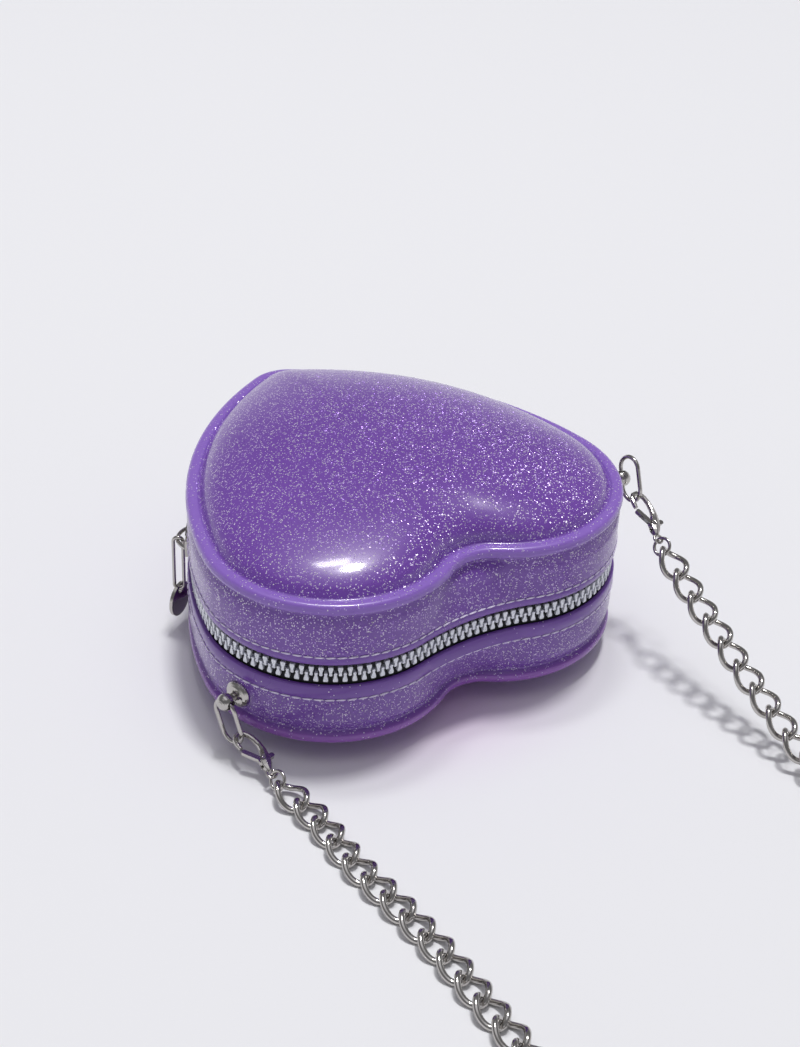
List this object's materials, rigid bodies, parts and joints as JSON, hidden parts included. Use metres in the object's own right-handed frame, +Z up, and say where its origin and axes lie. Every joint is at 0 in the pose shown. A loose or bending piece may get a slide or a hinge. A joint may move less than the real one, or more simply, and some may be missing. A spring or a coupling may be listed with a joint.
{
  "type": "heart shaped shoulder purse",
  "caption": "Heart shaped hard-shell shoulder purse in glittery purple plastic, with a zip round its side and a long curb chain strap held by lobster clasps.",
  "frame": {"origin": "middle of the flat of the rear shell's dome, on which the purse lies", "axes": "+Z up out of the front shell, +Y to the tip of the heart, +X across the lobes to the side of the right stud"},
  "size_m": [0.1983, 0.3542, 0.0674],
  "materials": {
    "front_skin": "translucent purple with silver flakes",
    "rear_skin": "dark translucent purple with silver flakes",
    "tape": "woven",
    "teeth": "pearl white",
    "nickel": "polished nickel plate",
    "steel": "bright wire"
  },
  "bodies": {
    "rear": {"rear_shell": "rear_skin", "hinge_strip": "tape", "rear_tape": "tape", "rear_teeth": "teeth", "rear_zip_end": "tape", "zip_bottom_stop": "teeth", "left_stud": "nickel", "left_stud_washer": "nickel", "left_stud_screw": "nickel", "left_clasp": "nickel", "right_clasp": "nickel", "clasp_pins": "steel", "clasp_springs": "steel", "left_end_ring": "nickel", "right_end_ring": "nickel", "chain_left_run": "nickel", "chain_right_run": "nickel", "chain_hank": "nickel"},
    "front": {"front_shell": "front_skin", "front_tape": "tape", "front_teeth": "teeth", "front_zip_end": "tape", "right_stud": "nickel", "right_stud_washer": "nickel", "right_stud_screw": "nickel"},
    "slider": {"zip_slider": "nickel"},
    "pull_link": {"zip_pull_link": "nickel"},
    "charm": {"zip_charm": "nickel"},
    "left_ring": {"left_ring": "nickel"},
    "right_ring": {"right_ring": "nickel"},
    "left_lever": {"left_clasp_lever": "nickel"},
    "right_lever": {"right_clasp_lever": "nickel"}
  },
  "joints": [
    {"name": "lid_hinge", "type": "hinge", "parent": "rear", "child": "front", "pos_m": [-0.02554, 0.0502, 0.031], "axis": [-0.788, -0.6157, 0], "range_deg": [0, 100], "deforming": ["hinge_strip", "front_zip_end"]},
    {"name": "slider_travel", "type": "hinge", "parent": "rear", "child": "slider", "pos_m": [0.04292, -0.03743, 0.031], "axis": [0, 0, 1], "range_deg": [0, 18], "deforming": ["rear_zip_end", "front_zip_end"]},
    {"name": "pull_link_swing", "type": "hinge", "parent": "slider", "child": "pull_link", "pos_m": [-0.05408, 0.02036, 0.031], "axis": [0.527, 0.8499, 0], "range_deg": [0, 60]},
    {"name": "charm_swing", "type": "hinge", "parent": "pull_link", "child": "charm", "pos_m": [-0.05408, 0.02036, 0.01385], "axis": [-0.8499, 0.527, 0], "range_deg": [-18, 18]},
    {"name": "left_ring_swing", "type": "hinge", "parent": "rear", "child": "left_ring", "pos_m": [-0.0689, -0.03829, 0.017], "axis": [-0.309, 0.9511, 0], "range_deg": [-2, 2]},
    {"name": "right_ring_swing", "type": "hinge", "parent": "front", "child": "right_ring", "pos_m": [0.07001, -0.03317, 0.046], "axis": [0.0866, 0.4457, 0.891], "range_deg": [-2, 2]},
    {"name": "left_lever_press", "type": "hinge", "parent": "rear", "child": "left_lever", "pos_m": [-0.06541, -0.05365, 0.00562], "axis": [-0.0508, 0.1564, -0.9864], "range_deg": [0, 18], "stiffness_Nm_per_rad": 0.002, "springref_deg": -8.59},
    {"name": "right_lever_press", "type": "hinge", "parent": "rear", "child": "right_lever", "pos_m": [0.06958, -0.0501, 0.03904], "axis": [-0.1514, 0.434, -0.8881], "range_deg": [0, 18], "stiffness_Nm_per_rad": 0.002, "springref_deg": -8.59}
  ]
}
